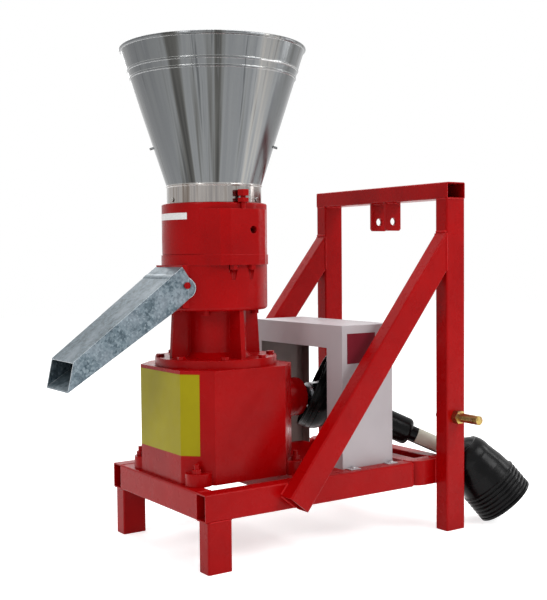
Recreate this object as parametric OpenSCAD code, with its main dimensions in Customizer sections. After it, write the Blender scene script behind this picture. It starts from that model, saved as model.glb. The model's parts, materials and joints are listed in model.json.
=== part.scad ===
// Tractor-driven flat-die pellet mill on a three-point hitch frame.
// +X runs from the chute end to the hitch, +Z is up, and the feet stand at height zero.

/* [Frame] */
// Tall side of the frame tube
tube_tall = 60; // [50:1:80]
// Narrow side of the frame tube
tube_wide = 40; // [35:1:50]
// Wall of the frame tube
tube_wall = 3; // [2:0.5:5]
// Corner radius of the frame tube
tube_round = 4; // [2:0.5:8]
// Width over the two rails
frame_wide = 440; // [420:5:520]
// Length of each rail
rail_long = 584; // [575:1:620]
// Height of the legs under the rails
leg_tall = 112; // [80:1:180]
// Distance from the rail's front end to the leg
leg_inset = 6; // [0:1:40]
// Distance from the rail's rear end to the uprights
post_gap = 75; // [70:1:90]
// Height of the uprights under the top crossbar
post_tall = 810; // [780:5:900]
// Slope of the braces
brace_angle = 51.4; // [45:0.2:55]
// Distance from the rail's front end to the foot of the braces
brace_foot_x = 193; // [185:1:215]
// Drop of the brace foot below the top of the rail
brace_foot_drop = 26; // [15:1:35]

/* [Hitch] */
// Diameter of the lower-link pins
link_pin_d = 22; // [20:0.5:28]
// Length of a lower-link pin outside the upright
link_pin_long = 81; // [70:1:100]
// Height of the lower-link pins
link_pin_z = 279; // [240:1:400]
// Width across the flats of the link-pin hexagons
link_hex = 30; // [28:1:36]
// Thickness of the link-pin shoulder
link_shoulder = 16; // [10:1:20]
// Thickness of the nut inside the upright
link_nut = 14; // [10:1:18]
// Gap between the two ears of the top-link clevis
clevis_gap = 48; // [40:1:60]
// Thickness of each clevis ear
clevis_plate = 8; // [6:1:12]
// Width of each clevis ear
clevis_wide = 50; // [46:1:60]
// Drop of each clevis ear below the crossbar
clevis_drop = 72; // [65:1:80]
// Diameter of the top-link hole
clevis_hole_d = 20; // [19:0.5:26]

/* [Gearbox] */
// Distance from the rail's front end to the mill's axis
head_x = 163; // [163:1:170]
// Width of the square gearbox housing
gear_wide = 300; // [290:1:320]
// Chamfer of the housing's upright corners
gear_chamfer = 56; // [50:1:60]
// Height of the gearbox housing
gear_tall = 252; // [245:1:280]
// Wall of the gearbox housing
gear_wall = 12; // [10:1:16]
// Height of the input shaft above the ground
input_z = 326; // [322:1:330]
// Radius of the foot lugs
foot_lug_r = 30; // [26:1:32]
// Height of the foot lugs
foot_lug_tall = 28; // [20:1:40]
// Radius of the spindle
spindle_r = 30; // [26:1:32]
// Pitch radius of the large bevel gear
gear_pitch_r = 84; // [80:1:88]
// Teeth of the large bevel gear
gear_teeth = 36; // [24:3:48]
// Turns of the input shaft for one turn of the spindle
gear_ratio = 3; // [3:1:3]
// Length of the bearing nose
nose_long = 84; // [80:1:86]
// Radius of the bearing nose at its end
nose_r = 47; // [46:1:52]

/* [Mill head] */
// Radius of the neck flange
flange_r = 143; // [138:1:148]
// Thickness of the neck flange
flange_thick = 19; // [15:1:24]
// Radius of the neck's core
neck_r = 72; // [70:1:76]
// Reach of the neck's webs at their foot
web_foot_r = 121; // [116:1:122]
// Reach of the neck's webs at their top
web_top_r = 114; // [108:1:118]
// Height of the underside of the lower chamber
chamber_z = 552; // [545:1:565]
// Outer radius of the lower chamber
chamber_r = 122.5; // [121:0.5:126]
// Inner radius of both chambers
chamber_bore_r = 104; // [102:0.5:108]
// Height of the lower chamber
chamber_tall = 127; // [120:1:135]
// Height of the upper chamber
ring_tall = 118; // [116:1:125]
// Width of the boss on each side of the chambers
boss_wide = 106; // [96:1:112]
// Distance from the axis to the face of a boss
boss_face = 132; // [131:0.5:138]
// Radius of the die
die_r = 100; // [96:0.5:101]
// Thickness of the die
die_thick = 25; // [20:1:30]
// Radius of the pellet holes
pellet_r = 3; // [2:0.5:4]
// Radius of the rollers
roller_r = 50; // [46:1:50]
// Width of each roller
roller_wide = 50; // [44:1:52]
// Radius of the roller axle
axle_r = 17.5; // [15:0.5:19]

/* [Hopper] */
// Outer radius of the hopper collar
collar_r = 110.4; // [108:0.2:111]
// Height of the hopper collar
collar_tall = 40; // [34:1:50]
// Radius of the hopper at its rim
hopper_r = 213.5; // [190:0.5:240]
// Height of the hopper's cone
hopper_tall = 315; // [260:5:380]
// Thickness of the hopper sheet
hopper_sheet = 1.5; // [1:0.1:2.5]
// Radius of the rolled rim
rim_r = 4; // [3:0.5:6]

/* [Chute] */
// Distance from the chute screws to the mouth
chute_reach = 286.5; // [220:0.5:330]
// Fall from the chute screws to the mouth
chute_fall = 219.7; // [170:0.1:250]
// Width of the chute at the chamber
chute_wide = 127; // [118:1:132]
// Width of the chute at its mouth
chute_mouth_wide = 116; // [100:1:118]
// Thickness of the chute sheet
chute_sheet = 2; // [1.5:0.5:3]
// Radius of the rounded side tabs
chute_tab_r = 34; // [31:1:36]

/* [Guard box] */
// Distance from the rail's front end to the guard box
box_x = 396; // [390:1:399]
// Length of the guard box
box_long = 154; // [150:1:170]
// Width of the guard box
box_wide = 368; // [362:1:380]
// Height of the guard box
box_tall = 338; // [320:1:360]
// Thickness of the guard sheet
box_sheet = 2; // [1.5:0.5:3]
// Width of the front panel beside the opening on the right
box_margin_right = 59; // [50:1:65]
// Width of the front panel beside the opening on the left
box_margin_left = 31; // [25:1:60]
// Height of the panel above the opening
box_brow = 55; // [45:1:70]

/* [Driveline] */
// Distance from the rail's front end to the first cross joint
cross_x = 474; // [472:0.5:478]
// Swing of the driveline to the right, in degrees
drive_swing = 35; // [20:1:35]
// Drop of the driveline below level, in degrees
drive_drop = 24.4; // [20:0.2:24.4]
// Distance between the two cross joints
drive_long = 412; // [411:1:440]
// Drop of the tractor end below level, in degrees
tail_drop = 50; // [44:1:50]
// Radius of the outer guard tube
guard_r = 34; // [32:0.5:36]
// Radius of the inner guard tube
slim_r = 20; // [19.5:0.1:20.4]
// Wall of the guard tubes
guard_wall = 2.5; // [2:0.5:3]
// Radius of the profile tube
profile_r = 16; // [15:0.5:17]
// Radius of the sliding shaft
bar_r = 12; // [10:0.5:13]
// Radius of the bell at the mill end
near_bell_r = 94; // [85:1:100]
// Radius of the bell at the tractor end
far_bell_r = 76; // [72:0.5:78]
// Distance from the second cross joint to the far bell's mouth
far_bell_long = 138; // [130:1:139]
// Ribs of the far bell
far_bell_ribs = 6; // [3:1:7]
// Diameter of the tractor shaft that the yoke takes
stub_d = 34.9; // [30:0.1:36]

/* [Hidden] */
$fn = 96;
over = 1;            // overrun of every cut past a face
slip = 0.3;          // gap between pieces that seat without a fit
fit = 0.05;          // radial clearance of a running fit

rail_top = leg_tall + tube_tall;
post_x = rail_long + post_gap;
side_out = frame_wide / 2;
side_in = side_out - tube_wide;
rail_y = side_out - tube_wide / 2;
post_y = side_out + tube_wide / 2;
post_out = side_out + tube_wide;
post_end_x = post_x + tube_tall;
hitch_x = post_x + tube_tall / 2;
rear_beam_x = post_end_x - tube_wide / 4 - tube_wide;
brace_long = (post_x - brace_foot_x) / cos(brace_angle) + tube_tall;
foot_gap = 3;
middle_beam_x = head_x + gear_wide / 2 - tube_wide - foot_gap;

// hitch pieces
link_shank_r = 10;
link_chamfer = 3;
link_hole_r = 5;
link_hole_inset = 13;
clevis_corner = 5;
clevis_hole_up = 24;

// gearbox pieces
gear_half = gear_wide / 2;
gear_top = rail_top + gear_tall;
lug_place = gear_half - gear_chamfer / 2;
lug_out = 11;
foot_bolt_r = 6;
foot_bolt_hex = 19;
foot_bolt_tip = 12;
foot_nut = 10;
bolt_clear = 0.4;
pinion_pitch_r = gear_pitch_r / gear_ratio;
pinion_teeth = gear_teeth / gear_ratio;
bevel_angle = atan(gear_pitch_r / pinion_pitch_r);
tooth_face = 25;
tooth_deep = 4;
mesh_gap = 0.15;
gear_rim = 24;
gear_hub_r = 44;
gear_hub_tall = 20;
pinion_hub_r = 24;
pinion_hub_long = 18;
shaft_r = 17.5;
shaft_seat_r = 20;
pinion_seat_r = 16;
input_bearing_r = 40;
input_bearing_wide = 22;
nose_spigot_r = 58;
nose_flange_r = 68;
nose_flange_thick = 10;
nose_root_r = 60;
nose_lip = 9;
seal_r = 27;
seal_inset = 1;
nose_taper = 1;
end_gap = 1;
shoulder_gap = 2;
spindle_collar = 6;
thread_step = 1;
nose_x = head_x + gear_half;
nose_end_x = nose_x + nose_long;
spindle_seat_r = 25;
gear_seat_r = 28;
low_bearing_r = 45;
low_bearing_tall = 22;
low_boss_r = 58;
neck_bearing_r = 55;
neck_bearing_tall = 22;
neck_bearing_drop = 22;
neck_bore_r = 60;
neck_land = 9;
neck_fillet = 12;
web_count = 4;
web_thick = 11;
web_root = 6;
gear_mouth_r = 90;
neck_seal_r = 42;
neck_seal_tall = 9;
flange_bolt_count = 8;
flange_bolt_pitch_r = 131;
flange_bolt_r = 5;
flange_hex = 17;
flange_head = 7;
flange_bolt_long = 30;
flange_z = gear_top;
neck_z = flange_z + flange_thick;

// mill head pieces
floor_thick = 10;
seam_z = chamber_z + chamber_tall;
belt_r = 125;
belt_tall = 23;
belt_z = seam_z - belt_tall;
ring_step = 0.5;
ring_r = chamber_r + ring_step;
seam_deep = 1.2;
seam_tall = 1.4;
ring_top = seam_z + ring_tall;
boss_drop = 15;
boss_ease = 5;
boss_top = ring_top - boss_drop;
edge_round = 8;
outlet_wide = 104;
outlet_tall = 84;
outlet_face = head_x - chamber_r;
outlet_half = chute_wide / 2 - chute_sheet - slip;
die_top = seam_z;
die_z = die_top - die_thick;
die_spigot_r = 19;
die_collar_r = 46;
die_collar_tall = 14;
die_nut_tall = 20;
die_nut_hex = 50;
hole_rings = 4;
hole_ring_r = 40;
hole_ring_step = 13;
hole_spacing = 12;
sweeper_r = 92;
sweeper_thick = 8;
sweeper_rise = 10;
sweeper_hub_r = 44;
sweeper_hub_tall = 18;
sweeper_blade_tall = 26;
sweeper_blade_thick = 8;
sweeper_inset = 1;
roller_gap = 0.3;
axle_z = die_top + roller_gap + roller_r;
roller_y = 30;
roller_flutes = 30;
flute_r = 3;
flute_out = 1;
bush_r = 26;
bush_long = 18;
block_wide = 25;
block_long = 28;
block_tall = 34;
lift = 6;
end_wall = 5;
block_out = boss_face - end_wall;
slot_from = chamber_bore_r - edge_round;
adjust_r = 6;
adjust_y = 125;
adjust_hex = 24;
adjust_head = 14;
lock_nut = 9;
stem_rise = 5;
peep_r = 8.8;
peep_x = 23;
peep_z = 56;
clamp_x = 24;
clamp_y = 121;
clamp_r = 5;
clamp_hex = 17;
clamp_head = 10;
clamp_grip = 30;
clamp_tail = 12;
pocket_r = 12;
pocket_foot_r = 5;
pocket_tall = 34;
floor_screw_count = 4;
floor_screw_pitch_r = 63.5;
floor_screw_r = 4;
floor_screw_head_r = 6.5;
floor_screw_head = 5;
floor_screw_long = 21;
floor_plug_pitch_r = 94;
spigot_tall = 16;

// hopper pieces
collar_z = ring_top + slip;
cone_z = collar_z + collar_tall;
cone_top = cone_z + hopper_tall;
bead_r = 2.5;
bead_shares = [0.79, 0.845];
collar_screw_count = 3;
collar_screw_r = 3;
collar_screw_head_r = 5;
collar_screw_head = 2.5;
side_pin_r = 3;
side_pin_long = 9;
side_pin_turn = -34;
side_pin_rise = 92;

// chute pieces
chute_pin_in = 10;
chute_pin_x = outlet_face + chute_pin_in;
chute_pin_drop = 45.3;
chute_pin_z = belt_z - chute_pin_drop;
chute_outline_shares = [[-0.037, 0.188], [-0.951, -0.704], [-1, -1], [-0.12, -0.272]];
chute_points = [for (s = chute_outline_shares) [s[0] * chute_reach, s[1] * chute_fall]];
chute_tab_back = 19;
chute_tab_drop = 6;
tab_high_turn = 35;
tab_low_turn = -53;
chute_bolt_r = 5;
chute_bolt_head_r = 7.5;
chute_bolt_head = 4;
chute_bolt_long = 16;
hug_gap = 0.3;

// guard box pieces
box_foot_long = 30;
box_foot_wide = 18;
box_foot_shares = [0.16, 0.91];
guard_screw_r = 3;
guard_screw_hex = 10;
guard_screw_head = 4;

// driveline pieces
yoke_half = 22;
ear_thick = 8;
ear_r = 14;
yoke_throat = 37;
yoke_plate = 8;
yoke_hub_r = 25;
cap_r = 10;
cap_out = 2;
cross_gap = 0.35;
cross_reach = yoke_half - cross_gap;
stub_pin_r = 8;
cross_core_r = 13;
input_hub_x = nose_end_x + foot_gap;
profile_hub_r = 23;
profile_hub_end = 62;
profile_end_share = 0.728;
profile_bore_share = 0.437;
bar_from_share = 0.4855;
guard_to_share = 0.595;
slim_from_share = 0.2915;
profile_end = profile_end_share * drive_long;
profile_bore_from = profile_bore_share * drive_long;
bar_from = bar_from_share * drive_long;
bar_hub_r = 16;
bar_hub_long = 8;
near_mouth = 17;
near_neck_from = 56;
near_neck_to = 80;
near_lip = 4;
guard_from = 60;
guard_to = guard_to_share * drive_long;
guard_end = 12;
guard_ring_from = 66;
guard_ring_to = 74;
slim_from = slim_from_share * drive_long;
slim_ring = 12;
slim_bush_back = 82;
slim_bush = 8;
ball_r = 56.5;
ball_wall = 2.2;
ball_collar = 14;
ball_collar_wall = 1.5;
socket_cut = 37;
far_wall = 3;
dome_shares = [[0.84, 0.14], [0.9, 0.28], [0.93, 0.42]];
rib_from_share = 0.49;
rib_swell = 4;
far_lip = 3;
yoke_bore_from = 60;
yoke_hub_end = 112;
lock_at = 96;
lock_r = 5;
lock_head_r = 8;
lock_head = 4;
lock_out = 36;
lock_boss_r = 10;
lock_boss_out = 31;

drive_dir = [cos(drive_drop) * cos(drive_swing), -cos(drive_drop) * sin(drive_swing), -sin(drive_drop)];
tail_dir = [cos(tail_drop) * cos(drive_swing), -cos(tail_drop) * sin(drive_swing), -sin(tail_drop)];
far_x = cross_x + drive_long * drive_dir[0] + far_bell_long * tail_dir[0]
    + far_bell_r * sqrt(1 - tail_dir[0] * tail_dir[0]);
near_x = chute_pin_x - chute_reach;
mid_x = (near_x + far_x) / 2;

red = [0.68, 0.07, 0.08];
zinc = [0.72, 0.74, 0.75];
steel = [0.55, 0.56, 0.58];
black = [0.06, 0.06, 0.07];
white = [0.88, 0.88, 0.87];
gold = [0.66, 0.56, 0.30];

// Places
module home() translate([-mid_x, 0, 0]) children();
module head() home() translate([head_x, 0, 0]) children();
module both_sides() {
    children();
    mirror([0, 1, 0]) children();
}
// the input line, with local z along +X and local x pointing down
module on_input() home() translate([cross_x, 0, input_z]) rotate([0, 90, 0]) children();
// the driveline, with local z towards the tractor and local x pointing down
module on_drive() home() translate([cross_x, 0, input_z])
    rotate([0, 90 + drive_drop, -drive_swing]) children();
module on_tail() on_drive() translate([0, 0, drive_long]) rotate([0, tail_drop - drive_drop, 0]) children();

// Shared shapes
module round_box(long, wide, r) {
    translate([-long / 2 + r, -wide / 2]) square([long - 2 * r, wide]);
    translate([-long / 2, -wide / 2 + r]) square([long, wide - 2 * r]);
    for (i = [-1, 1], j = [-1, 1]) translate([i * (long / 2 - r), j * (wide / 2 - r)]) circle(r);
}
// open tube standing on its end, with its tall side along x
module tube(long) linear_extrude(long) difference() {
    round_box(tube_tall, tube_wide, tube_round);
    square([tube_tall - 2 * tube_wall, tube_wide - 2 * tube_wall], center = true);
}
// tube lying along +X on its narrow side, centred across, bottom at zero
module tube_x(long) translate([0, 0, tube_tall / 2]) rotate([0, 90, 0]) tube(long);
// tube lying along +Y on its narrow side, bottom at zero
module tube_y(long) translate([0, 0, tube_tall / 2]) rotate([-90, 0, 0]) rotate([0, 0, 90]) tube(long);
module ring(outer, inner, tall) difference() {
    cylinder(r = outer, h = tall);
    translate([0, 0, -over]) cylinder(r = inner, h = tall + 2 * over);
}
module hexagon(flats, tall) cylinder(r = flats / 2 / cos(30), h = tall, $fn = 6);
// bolt standing on its tip, head up
module bolt(r, long, flats, head) {
    cylinder(r = r, h = long);
    translate([0, 0, long]) hexagon(flats, head);
}

// The frame
module rail_right() color(red) home() translate([0, -rail_y, leg_tall]) tube_x(rail_long);
module rail_left() color(red) home() translate([0, rail_y, leg_tall]) tube_x(rail_long);
module cross_tube(x, half) home() translate([x + tube_wide / 2, -half, leg_tall]) tube_y(2 * half);
module front_crossmember() color(red) cross_tube(0, side_in);
module middle_crossmember() color(red) cross_tube(middle_beam_x, side_in);
module rear_crossmember() color(red) cross_tube(rear_beam_x, side_out);

// plan of the bent beam, drawn in by a skin on every wall
module beam_plan(skin) {
    turn_x = rail_long + tube_wide;
    translate([rail_long + skin, -side_in]) square([tube_wide - 2 * skin, 2 * side_in]);
    both_ways() {
        intersection() {
            translate([turn_x, -side_in]) difference() {
                circle(tube_wide - skin);
                if (skin > 0) circle(skin);
            }
            translate([rail_long, -side_out]) square(tube_wide);
        }
        translate([turn_x, -side_out + skin])
            square([rear_beam_x - turn_x + (skin > 0 ? over : 0), tube_wide - 2 * skin]);
    }
}
module both_ways() {
    children();
    mirror([0, 1]) children();
}
module hitch_beam() color(red) home() difference() {
    translate([0, 0, leg_tall]) linear_extrude(tube_tall) beam_plan(0);
    translate([0, 0, leg_tall + tube_wall]) linear_extrude(tube_tall - 2 * tube_wall) beam_plan(tube_wall);
}

module leg(y) home() translate([leg_inset + tube_tall / 2, y, 0]) tube(leg_tall);
module leg_right() color(red) leg(-rail_y);
module leg_left() color(red) leg(rail_y);

module upright() translate([hitch_x, -post_y, 0]) difference() {
    tube(post_tall);
    translate([0, 0, link_pin_z]) rotate([90, 0, 0])
        cylinder(r = link_shank_r + slip, h = tube_wide + 2 * over, center = true);
}
module upright_right() color(red) home() upright();
module upright_left() color(red) home() mirror([0, 1, 0]) upright();
module top_crossbar() color(red) home() translate([hitch_x, -post_out, post_tall + tube_wide / 2])
    rotate([-90, 0, 0]) tube(2 * post_out);

module brace() difference() {
    translate([brace_foot_x, -post_y, rail_top - brace_foot_drop]) rotate([0, -brace_angle, 0])
        translate([0, 0, -tube_tall]) tube_x(brace_long);
    translate([post_x, -post_out - over, 0]) cube([brace_long, tube_wide + 2 * over, post_tall + tube_wide]);
}
module brace_right() color(red) home() brace();
module brace_left() color(red) home() mirror([0, 1, 0]) brace();

module clevis_ear() {
    half = clevis_wide / 2;
    low = -clevis_drop;
    difference() {
        polygon([[-half, 0], [half, 0], [half, low + clevis_corner], [half - clevis_corner, low],
            [-half + clevis_corner, low], [-half, low + clevis_corner]]);
        translate([0, low + clevis_hole_up]) circle(d = clevis_hole_d);
    }
}
module top_link_clevis() color(red) home() translate([hitch_x, 0, post_tall]) both_sides()
    translate([0, clevis_gap / 2 + clevis_plate, 0]) rotate([90, 0, 0])
        linear_extrude(clevis_plate) clevis_ear();

// link pin along +Y from the inner nut's outer face
module link_pin() {
    tip = link_pin_long - link_chamfer;
    inside = tube_wide + link_nut + link_chamfer;
    difference() {
        union() {
            translate([0, 0, -inside]) cylinder(r = link_shank_r, h = inside + over);
            hexagon(link_hex, link_shoulder);
            cylinder(d = link_pin_d, h = tip);
            translate([0, 0, tip])
                cylinder(r1 = link_pin_d / 2, r2 = link_pin_d / 2 - link_chamfer, h = link_chamfer);
        }
        translate([0, 0, link_pin_long - link_hole_inset]) rotate([0, 90, 0])
            cylinder(r = link_hole_r, h = link_pin_d + 2 * over, center = true);
    }
}
module lower_link_pins() color(gold) home() both_sides()
    translate([hitch_x, -post_out, link_pin_z]) rotate([90, 0, 0]) link_pin();
module lower_link_nuts() color(gold) home() both_sides()
    translate([hitch_x, -side_out, link_pin_z]) rotate([-90, 0, 0]) difference() {
        hexagon(link_hex, link_nut);
        translate([0, 0, -over]) cylinder(r = link_shank_r + fit, h = link_nut + 2 * over);
    }

// The gearbox
module octagon(half, cut) polygon([[-half, -half + cut], [-half + cut, -half], [half - cut, -half],
    [half, -half + cut], [half, half - cut], [half - cut, half], [-half + cut, half], [-half, half - cut]]);
module at_corners(place) for (i = [-1, 1], j = [-1, 1]) translate([i * place, j * place, 0]) children();
foot_place = lug_place + lug_out;

module gearbox_housing() color(red) head() difference() {
    union() {
        translate([0, 0, rail_top]) difference() {
            union() {
                linear_extrude(gear_tall) octagon(gear_half, gear_chamfer);
                at_corners(lug_place) cylinder(r = foot_lug_r, h = foot_lug_tall);
            }
            translate([0, 0, gear_wall]) linear_extrude(gear_tall - 2 * gear_wall)
                octagon(gear_half - gear_wall, gear_chamfer - gear_wall / 2);
        }
        translate([0, 0, rail_top + gear_wall / 2]) cylinder(r = low_boss_r, h = low_bearing_tall + gear_wall);
    }
    // seat of the lower bearing
    translate([0, 0, rail_top + gear_wall]) cylinder(r = low_bearing_r, h = gear_tall / 2);
    // opening under the neck
    translate([0, 0, gear_top - gear_wall - over]) cylinder(r = gear_mouth_r, h = gear_wall + 2 * over);
    // seat of the bearing nose
    translate([gear_half - gear_wall - over, 0, input_z]) rotate([0, 90, 0])
        cylinder(r = nose_spigot_r, h = gear_wall + 2 * over);
    at_corners(foot_place) translate([0, 0, rail_top - over])
        cylinder(r = foot_bolt_r + bolt_clear, h = foot_lug_tall + 2 * over);
    at_flange_bolts() translate([0, 0, gear_top - flange_bolt_long + flange_thick - over])
        cylinder(r = flange_bolt_r + fit, h = flange_bolt_long);
}
module gearbox_foot_bolts() color(red) head() at_corners(foot_place) {
    translate([0, 0, rail_top]) cylinder(r = foot_bolt_r, h = foot_lug_tall + foot_nut + foot_bolt_tip);
    translate([0, 0, rail_top + foot_lug_tall]) hexagon(foot_bolt_hex, foot_nut);
}

module at_flange_bolts() for (i = [0 : flange_bolt_count - 1])
    rotate([0, 0, (i + 0.5) * 360 / flange_bolt_count]) translate([flange_bolt_pitch_r, 0, 0]) children();
module neck_profile() difference() {
    union() {
        translate([0, flange_z]) square([flange_r, flange_thick]);
        polygon([[0, neck_z], [neck_r + neck_fillet, neck_z], [neck_r, neck_z + neck_fillet],
            [neck_r, chamber_z], [0, chamber_z]]);
    }
    translate([0, flange_z - over]) square([neck_bore_r, chamber_z - flange_z - neck_bearing_drop
        - neck_bearing_tall - neck_land + over]);
    translate([0, flange_z]) square([neck_bearing_r - neck_land, chamber_z - flange_z]);
    translate([0, chamber_z - neck_bearing_drop - neck_bearing_tall])
        square([neck_bearing_r, neck_bearing_drop + neck_bearing_tall + over]);
}
module spindle_housing() color(red) head() difference() {
    union() {
        rotate_extrude() neck_profile();
        for (i = [0 : web_count - 1]) rotate([0, 0, i * 360 / web_count]) rotate([90, 0, 0])
            translate([0, 0, -web_thick / 2]) linear_extrude(web_thick)
                polygon([[neck_r - web_root, neck_z - over], [web_foot_r, neck_z - over],
                    [web_top_r, chamber_z], [neck_r - web_root, chamber_z]]);
    }
    at_flange_bolts() translate([0, 0, flange_z - over])
        cylinder(r = flange_bolt_r + bolt_clear, h = flange_thick + 2 * over);
    at_floor(floor_screw_pitch_r) translate([0, 0, floor_head_z - floor_screw_long])
        cylinder(r = floor_screw_r + fit, h = floor_screw_long);
}
module flange_bolts() color(red) head() at_flange_bolts()
    translate([0, 0, neck_z - flange_bolt_long]) bolt(flange_bolt_r, flange_bolt_long, flange_hex, flange_head);

// bearing nose, local z from the housing's rear face
module at_nose() home() translate([nose_x, 0, input_z]) rotate([0, 90, 0]) children();
module input_bearing_nose() color(red) at_nose() rotate_extrude() difference() {
    polygon([[0, -gear_wall], [nose_spigot_r - fit, -gear_wall], [nose_spigot_r - fit, 0], [nose_flange_r, 0],
        [nose_flange_r, nose_flange_thick], [nose_root_r, nose_flange_thick],
        [nose_r + nose_taper, nose_long - input_bearing_wide], [nose_r, nose_long], [0, nose_long]]);
    translate([0, -gear_wall - over]) square([input_bearing_r, nose_long + gear_wall - nose_lip + over]);
    translate([0, nose_long - nose_lip - over]) square([seal_r, nose_lip + 2 * over]);
}
module input_bearings() color(steel) at_nose() {
    translate([0, 0, -gear_wall]) ring(input_bearing_r - fit / 2, shaft_seat_r + fit, input_bearing_wide);
    translate([0, 0, nose_long - nose_lip - input_bearing_wide])
        ring(input_bearing_r - fit / 2, shaft_seat_r + fit, input_bearing_wide);
}
module input_seal() color(black) at_nose() translate([0, 0, nose_long - nose_lip + seal_inset])
    ring(seal_r - fit / 2, shaft_r + fit, nose_lip - 2 * seal_inset);
pinion_back = gear_pitch_r - gear_half + pinion_hub_long;
module input_shaft() color(steel) at_nose() {
    inner = gear_pitch_r - gear_half - tooth_face * sin(bevel_angle);
    translate([0, 0, inner]) cylinder(r = pinion_seat_r, h = pinion_back - inner + over);
    translate([0, 0, pinion_back]) cylinder(r = shaft_seat_r, h = nose_long - nose_lip - pinion_back);
    translate([0, 0, nose_long - nose_lip - over])
        cylinder(r = shaft_r, h = input_hub_x - nose_end_x + nose_lip + yoke_throat / 2);
}

// frustum of a pitch cone whose apex is the origin, opening along +z
module pitch_cone(big_r, angle, face) {
    small_r = big_r - face * sin(angle);
    translate([0, 0, small_r / tan(angle)])
        cylinder(r1 = small_r, r2 = big_r, h = (big_r - small_r) / tan(angle));
}
// straight tooth grooves along the generators of a pitch cone
module tooth_grooves(count, angle, big_r) {
    pitch = 2 * PI * big_r / count;
    for (i = [0 : count - 1]) rotate([0, 0, i * 360 / count]) rotate([0, angle, 0])
        translate([0, 0, big_r / sin(angle) / 2]) linear_extrude(big_r / sin(angle))
            polygon([[over, -pitch / 4], [over, pitch / 4], [-tooth_deep, pitch / 10],
                [-tooth_deep, -pitch / 10]]);
}
gear_face_z = pinion_pitch_r - tooth_face * cos(bevel_angle);
gear_rim_z = pinion_pitch_r + gear_rim;
gear_hub_z = gear_rim_z + gear_hub_tall - over;
module gear_blank() difference() {
    rotate_extrude() polygon([[0, gear_face_z], [gear_pitch_r - tooth_face * sin(bevel_angle), gear_face_z],
        [gear_pitch_r, pinion_pitch_r], [gear_pitch_r, gear_rim_z], [gear_hub_r, gear_rim_z],
        [gear_hub_r, gear_hub_z], [0, gear_hub_z]]);
    rotate([0, 0, 180 / gear_teeth]) tooth_grooves(gear_teeth, bevel_angle, gear_pitch_r);
    cylinder(r = gear_seat_r + fit, h = gear_tall);
}
module bevel_gear() color(steel) head() translate([0, 0, input_z - mesh_gap]) rotate([180, 0, 0]) gear_blank();
module pinion_blank() difference() {
    union() {
        pitch_cone(pinion_pitch_r, 90 - bevel_angle, tooth_face);
        translate([0, 0, gear_pitch_r]) cylinder(r = pinion_hub_r, h = pinion_hub_long - mesh_gap);
    }
    tooth_grooves(pinion_teeth, 90 - bevel_angle, pinion_pitch_r);
    cylinder(r = pinion_seat_r + fit, h = gear_wide);
}
module bevel_pinion() color(steel) home() translate([head_x + mesh_gap, 0, input_z]) rotate([0, 90, 0])
    pinion_blank();

gear_low_z = input_z - mesh_gap - gear_hub_z;
module main_spindle() color(steel) head() rotate_extrude() polygon([
    [0, rail_top + gear_wall + end_gap],
    [spindle_seat_r, rail_top + gear_wall + end_gap],
    [spindle_seat_r, rail_top + gear_wall + low_bearing_tall + shoulder_gap],
    [spindle_r + spindle_collar, rail_top + gear_wall + low_bearing_tall + shoulder_gap],
    [spindle_r + spindle_collar, gear_low_z],
    [gear_seat_r, gear_low_z],
    [gear_seat_r, input_z],
    [spindle_r, input_z],
    [spindle_r, chamber_z + floor_thick + sweeper_rise - end_gap],
    [spindle_r, die_z - die_collar_tall],
    [die_collar_r, die_z - die_collar_tall / 2],
    [die_collar_r, die_z],
    [die_spigot_r, die_z],
    [die_spigot_r, die_top + die_nut_tall + end_gap],
    [0, die_top + die_nut_tall + end_gap]]);
module spindle_bearings() color(steel) head() {
    translate([0, 0, rail_top + gear_wall])
        ring(low_bearing_r - fit / 2, spindle_seat_r + fit, low_bearing_tall);
    translate([0, 0, chamber_z - neck_bearing_drop - neck_bearing_tall])
        ring(neck_bearing_r - fit / 2, spindle_r + fit, neck_bearing_tall);
}
module spindle_seal() color(black) head() translate([0, 0, chamber_z + floor_thick - neck_seal_tall])
    ring(neck_seal_r - fit, spindle_r + fit, neck_seal_tall);

// The mill head
boss_corner = [boss_wide / 2, boss_face];
boss_turn = atan2(boss_corner[1], boss_corner[0]) - acos(chamber_r / norm(boss_corner));
boss_root = chamber_r * [cos(boss_turn), sin(boss_turn)];
module boss(z, tall) translate([0, 0, z]) difference() {
    linear_extrude(tall) intersection() {
        polygon([[-boss_root[0], -boss_root[1]], [-boss_corner[0], -boss_corner[1]],
            [boss_corner[0], -boss_corner[1]], [boss_root[0], -boss_root[1]], boss_root, boss_corner,
            [-boss_corner[0], boss_corner[1]], [-boss_root[0], boss_root[1]]]);
        circle(boss_face + boss_ease);
    }
    translate([0, 0, -over]) cylinder(r = chamber_bore_r, h = tall + 2 * over);
}
module at_clamps() for (i = [-1, 1], j = [-1, 1]) translate([i * clamp_x, j * clamp_y, 0]) children();
floor_head_z = chamber_z + floor_thick - floor_screw_head;
module at_floor(pitch_r) for (i = [0 : floor_screw_count - 1])
    rotate([0, 0, (i + 0.5) * 360 / floor_screw_count]) translate([pitch_r, 0, 0]) children();
module lower_profile() difference() {
    union() {
        translate([0, chamber_z]) square([chamber_r - edge_round, chamber_tall]);
        translate([0, chamber_z + edge_round]) square([chamber_r, chamber_tall - edge_round]);
        translate([chamber_r - edge_round, chamber_z + edge_round]) circle(edge_round);
        translate([0, belt_z]) square([belt_r, belt_tall]);
    }
    translate([0, chamber_z + floor_thick]) square([chamber_bore_r, chamber_tall]);
    translate([0, chamber_z - over]) square([neck_seal_r, floor_thick + 2 * over]);
}
module outlet_cut() translate([-chamber_r - over, -outlet_wide / 2, chamber_z + floor_thick])
    cube([chamber_r, outlet_wide, outlet_tall]);
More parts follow.
